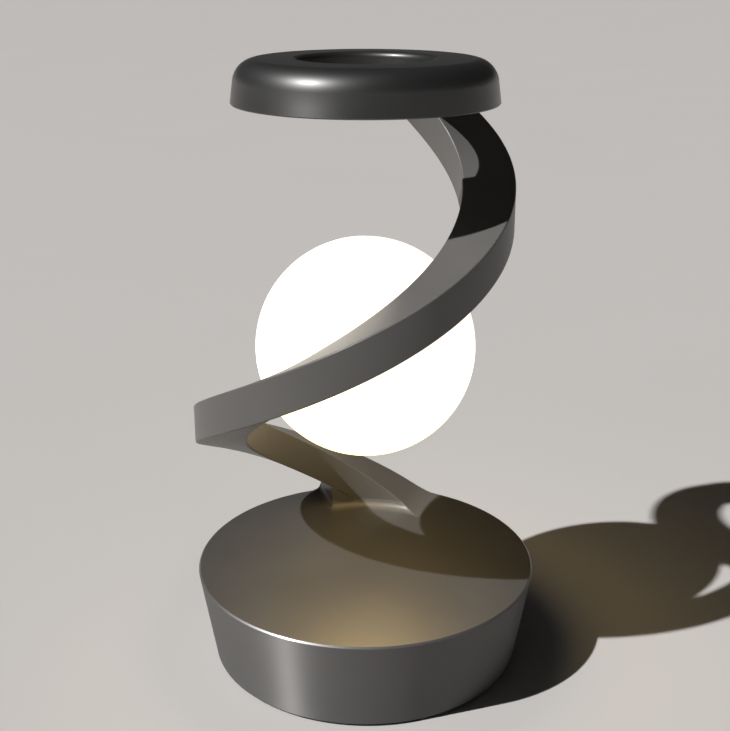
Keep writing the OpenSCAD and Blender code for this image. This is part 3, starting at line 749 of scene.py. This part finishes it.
def rimDeg(opening, radius):
    # how far below level a sphere of that radius is as wide as the opening
    return -math.degrees(math.acos(opening / radius))


def makeGlobe():
    port, radius, inner = globe["port"], globeRadius, globeRadius - globe["wall"]
    rim = rimDeg(port, radius)
    outerPath = arc((0, 0), radius, rim + globe["edgeDeg"], 90, globe["outerSteps"])
    innerPath = arc((0, 0), inner, 90, rimDeg(port, inner), globe["innerSteps"])
    profile = [(port, radius * math.sin(math.radians(rim)) + globe["edge"])]
    profile += outerPath[:-1] + [(0, radius), (0, inner)] + innerPath[1:]
    points = [(r, globeMiddle + z) for r, z in profile]
    piece = linkMesh("globeShell", lathe("globeShell", points, globe["steps"], closed=True))
    evenNormals(piece, globe["shadeDeg"])
    place(piece, "globe", globeGlow, "globe_shell")


def makePlug():
    plug, radius, edge = globe["plug"], globeRadius, globe["plugEdge"]
    rim = rimDeg(plug, radius)
    lip = radius * math.sin(math.radians(rim))
    lipIn, lipUp = globe["plugLip"]
    top = -radius + globe["plugHeight"]
    profile = [(0, -radius)]
    profile += arc((0, 0), radius, globe["poleDeg"], rim - globe["plugEdgeDeg"], globe["plugSteps"])
    profile += [(plug - lipIn, lip + lipUp), (plug, lip + edge)]
    profile += [(plug, top - edge), (plug - edge, top), (0, top)]
    points = [(r, globeMiddle + z) for r, z in profile]
    piece = linkMesh("globePlug", lathe("globePlug", points, globe["steps"]))
    evenNormals(piece, globe["shadeDeg"])
    place(piece, "globe", globeGlow, "globe_cap")


makeGlobe()
makePlug()
print("globe: ready")


# power button
button = {
    "deg": 130.0, "level": 0.0130, "root": 0.05168, "tip": 0.05795, "width": 0.0070,
    "flange": 0.0094, "flangeDepth": 0.0012, "round": 0.0006, "roundDeg": (10, 80), "roundSteps": 6,
    "dish": 0.00025, "dishEdge": 1.2, "dishSteps": 10, "steps": 96, "shadeDeg": 34,
}


def makeButton():
    half, length, edge = button["width"] / 2, button["tip"] - button["root"], button["round"]
    profile = [
        (0, 0), (button["flange"] / 2, 0), (button["flange"] / 2, button["flangeDepth"]),
        (half, button["flangeDepth"]), (half, length - edge),
    ]
    profile += arc((half - edge, length - edge), edge, *button["roundDeg"], button["roundSteps"])
    reach = half - edge * button["dishEdge"]
    for k in range(button["dishSteps"] + 1):
        share = 1 - k / button["dishSteps"]
        profile.append((reach * share, length - button["dish"] * (1 - share ** 2)))
    mesh = lathe("powerButton", profile, button["steps"])
    mesh.transform(Matrix.Rotation(math.radians(90), 4, "Y"))
    mesh.transform(Matrix.Translation((button["root"], 0, button["level"])))
    mesh.transform(Matrix.Rotation(math.radians(button["deg"]), 4, "Z"))
    piece = linkMesh("powerButton", mesh)
    evenNormals(piece, button["shadeDeg"])
    place(piece, "button", buttonBlack, "power_button")


makeButton()
print("power button: ready")


# screws and feet, set out by a node tree on points
def setOutTree():
    tree = bpy.data.node_groups.new("setOutParts", "GeometryNodeTree")
    kinds = {"Points": "Geometry", "Part": "Object", "Turn": "Float", "Finish": "Material"}
    names = namedInputs(tree, kinds)
    given = tree.nodes.new("NodeGroupInput")
    part = tree.nodes.new("GeometryNodeObjectInfo")
    put = tree.nodes.new("GeometryNodeInstanceOnPoints")
    count = tree.nodes.new("GeometryNodeInputIndex")
    turn = Field(tree, count.outputs["Index"]) * Field(tree, given.outputs["Turn"])
    about = tree.nodes.new("ShaderNodeCombineXYZ")
    tree.links.new(turn.socket, about.inputs["Z"])
    tree.links.new(given.outputs["Points"], put.inputs["Points"])
    tree.links.new(given.outputs["Part"], part.inputs["Object"])
    tree.links.new(part.outputs["Geometry"], put.inputs["Instance"])
    tree.links.new(about.outputs["Vector"], put.inputs["Rotation"])
    endTree(tree, given, put.outputs["Instances"])
    return tree, names


partTree, partNames = setOutTree()


def setOutParts(name, part, size, level, material, node):
    turns = [math.radians(bearing) for bearing in size["bearings"]]
    points = [(size["circle"] * math.cos(t), size["circle"] * math.sin(t), level) for t in turns]
    piece = linkMesh(name, meshFrom(name, points, []))
    put = piece.modifiers.new("setOut", "NODES")
    put.node_group = partTree
    put[partNames["Part"]] = part
    put[partNames["Turn"]] = size["turn"]
    put[partNames["Finish"]] = material
    bakeModifiers(piece)
    bpy.data.objects.remove(part)
    evenNormals(piece, size["shadeDeg"])
    place(piece, "stand", material, node)


plateScrew = {
    "head": 0.0056, "shank": 0.0030, "headHeight": 0.0012, "length": 0.0112, "recess": 0.0015,
    "bearings": (54, 160, 240, 330), "circle": 0.04705, "turn": 1.1, "shadeDeg": 34,
}
coverScrew = {
    "head": 0.0044, "shank": 0.0024, "headHeight": 0.0012, "length": 0.0074, "recess": 0.0012,
    "bearings": (100, 190, 280, 370), "circle": 0.0377, "turn": 0.8, "shadeDeg": 34,
}
screwForm = {
    "crown": 0.0005, "crownMid": (0.00015, 0.00018), "point": 0.0004, "steps": 40,
    "recessDepth": 0.0008, "recessOver": 0.0005, "recessTaper": 0.62, "recessSlim": 0.24,
}


def recessBar(reach, crossed):
    # one bar of the cross, which narrows with depth; the crossed one lies square to the other
    ends = ((-screwForm["recessOver"], 1.0), (screwForm["recessDepth"], screwForm["recessTaper"]))
    sections = []
    for level, shrink in ends:
        along, across = reach * shrink, reach * screwForm["recessSlim"] * shrink
        corners = [(-along, -across), (along, -across), (along, across), (-along, across)]
        if crossed:
            corners = [(-y, x) for x, y in corners]
        sections.append([(x, y, level) for x, y in corners])
    return loft("crossRecess", sections)


def screwPart(name, size):
    # head down at the origin, shank up, with a cross recess in the head
    head, shank, length = size["head"] / 2, size["shank"] / 2, size["length"]
    crown, point = screwForm["crown"], screwForm["point"]
    midIn, midUp = screwForm["crownMid"]
    profile = [
        (0, 0), (head - crown, 0), (head - midIn, midUp), (head, crown), (head, size["headHeight"]),
        (shank, size["headHeight"]), (shank, length - point), (shank - point, length), (0, length),
    ]
    piece = linkMesh(name, lathe(name, profile, screwForm["steps"]))
    cutter = linkMesh("crossRecess", recessBar(size["recess"], crossed=False))
    addMesh(cutter, recessBar(size["recess"], crossed=True))
    tidyMesh(cutter.data)
    cutAway(piece, cutter, crossing=True)
    return piece


def makeFastenings():
    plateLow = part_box("base_screws")[0].z
    part = screwPart("plateScrew", plateScrew)
    setOutParts("plateScrews", part, plateScrew, plateLow, screwSteel, "base_screws")
    part = screwPart("coverScrew", coverScrew)
    setOutParts("coverScrews", part, coverScrew, ringLow, screwSteel, "ring_screws")


rubberFoot = {
    "radius": 0.0060, "height": 0.0018, "round": 0.0005, "roundSteps": 6, "topEdge": 0.0002,
    "dish": 0.00012, "dishShares": (0.55, 0.66), "floor": 0.0, "steps": 64,
    "bearings": (15, 105, 195, 285), "circle": 0.040, "turn": 0.0, "shadeDeg": 34,
}


def makeFeet():
    radius, height, edge = rubberFoot["radius"], rubberFoot["height"], rubberFoot["round"]
    dish, top = rubberFoot["dish"], rubberFoot["topEdge"]
    dishIn, dishOut = [radius * share for share in rubberFoot["dishShares"]]
    profile = [(0, dish), (dishIn, dish), (dishOut, 0)]
    profile += arc((radius - edge, edge), edge, -90, 0, rubberFoot["roundSteps"])
    profile += [(radius, height - top), (radius - top, height), (0, height)]
    part = linkMesh("rubberFoot", lathe("rubberFoot", profile, rubberFoot["steps"]))
    level = rubberFoot["floor"]
    setOutParts("rubberFeet", part, rubberFoot, level, footRubber, "rubber_feet")


makeFastenings()
makeFeet()
print("screws and feet: ready")


# the frame's own pieces keep their shapes and take these finishes
def dressNodes():
    finishes = {
        coverBlack: ["ring_cover"], plateBlack: ["base_plate"],
        screwSteel: ["board_screws", "arm_foot_screws", "arm_top_screws"],
        plainSteel: ["ballast_disc", "coil_cores"],
        boardGreen: ["coil_board", "control_board", "switch_board"],
        chipBlack: ["board_chips", "hall_sensor", "switch_body", "inlet_tongue"],
        inletMetal: ["inlet_shell"],
        nylonNatural: ["board_link", "sensor_post", "switch_plunger", "magnet_cup"],
        bobbinBlack: ["coil_bobbins", "magnet_tray"],
        copperWire: ["coil_windings", "sender_coil", "receiver_coil"],
        ferriteDark: ["lift_magnet", "ring_magnet", "coil_shield"],
        magnetPlate: ["float_magnet"], ledWhite: ["led_board"], ledPhosphor: ["led_chips"],
    }
    for material, nodes in finishes.items():
        for node in nodes:
            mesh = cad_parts[node].data
            mesh.materials.clear()
            mesh.materials.append(material)


dressNodes()
print("frame pieces: dressed")


# floor, background and light
stage = {
    "level": -0.00002, "rings": (0.0, 0.5, 3.0, 60.0), "steps": 128, "rough": 0.75, "gloss": 0.25,
    "tone": (0.54, 0.528, 0.520), "shade": 0.985, "speckle": 6.0, "speckleDetail": 4.0,
}


def makeStage():
    profile = [(radius, stage["level"]) for radius in stage["rings"]]
    piece = linkMesh("paleFloor", lathe("paleFloor", profile, stage["steps"]))
    if piece.data.polygons[0].normal.z < 0:
        piece.data.flip_normals()
    material, tree, shader = newMaterial("paleFloor")
    speckle = noise(tree, objectPoints(tree), stage["speckle"], stage["speckleDetail"])
    dark = [part * stage["shade"] for part in stage["tone"]]
    tree.links.new(twoTone(tree, speckle, dark, stage["tone"]), shader.inputs["Base Color"])
    shader.inputs["Roughness"].default_value = stage["rough"]
    shader.inputs["Specular IOR Level"].default_value = stage["gloss"]
    piece.data.materials.append(material)


studio = {
    "toward": (-0.874, -0.46, 1.0), "away": 2.0, "strength": 4.4, "softDeg": 0.9, "tone": (1.0, 0.985, 0.965),
    "fill": 0.02, "fillTone": (1.0, 0.98, 0.97, 1), "backTone": (0.565, 0.545, 0.524, 1),
    "backFade": (0.0, 0.12),  # upward slopes of a gloss ray between which it stops seeing the background
}


def makeSun():
    data = bpy.data.lights.new("keyLight", "SUN")
    data.energy = studio["strength"]
    data.angle = math.radians(studio["softDeg"])
    data.color = studio["tone"]
    lamp = bpy.data.objects.new("keyLight", data)
    toward = Vector(studio["toward"])
    lamp.location = toward.normalized() * studio["away"]
    lamp.rotation_euler = toward.to_track_quat("Z", "Y").to_euler()
    scene.collection.objects.link(lamp)


def makeWorld():
    # little fill from all round; the eye sees a pale background, and gloss sees it low down
    world = bpy.data.worlds.new("studio")
    world.use_nodes = True
    scene.world = world
    tree = world.node_tree
    fill = tree.nodes["Background"]
    fill.inputs["Color"].default_value = studio["fillTone"]
    fill.inputs["Strength"].default_value = studio["fill"]
    back = tree.nodes.new("ShaderNodeBackground")
    back.inputs["Color"].default_value = studio["backTone"]
    rays = tree.nodes.new("ShaderNodeLightPath")
    where = tree.nodes.new("ShaderNodeTexCoord")
    upward = splitPoints(tree, where.outputs["Generated"])[2]
    low = Field(tree, span(tree, upward, 1.0, 0.0, *studio["backFade"]))
    kinds = ("Camera", "Glossy", "Transmission")
    eye, gloss, through = [Field(tree, rays.outputs["Is %s Ray" % kind]) for kind in kinds]
    seen = eye.op("MAXIMUM", low * gloss.op("MAXIMUM", through))
    mix = tree.nodes.new("ShaderNodeMixShader")
    tree.links.new(seen.socket, mix.inputs["Fac"])
    tree.links.new(fill.outputs["Background"], mix.inputs[1])
    tree.links.new(back.outputs["Background"], mix.inputs[2])
    tree.links.new(mix.outputs["Shader"], tree.nodes["World Output"].inputs["Surface"])


makeStage()
makeSun()
makeWorld()
scene.view_settings.view_transform = "Standard"
print("stage and light: ready")
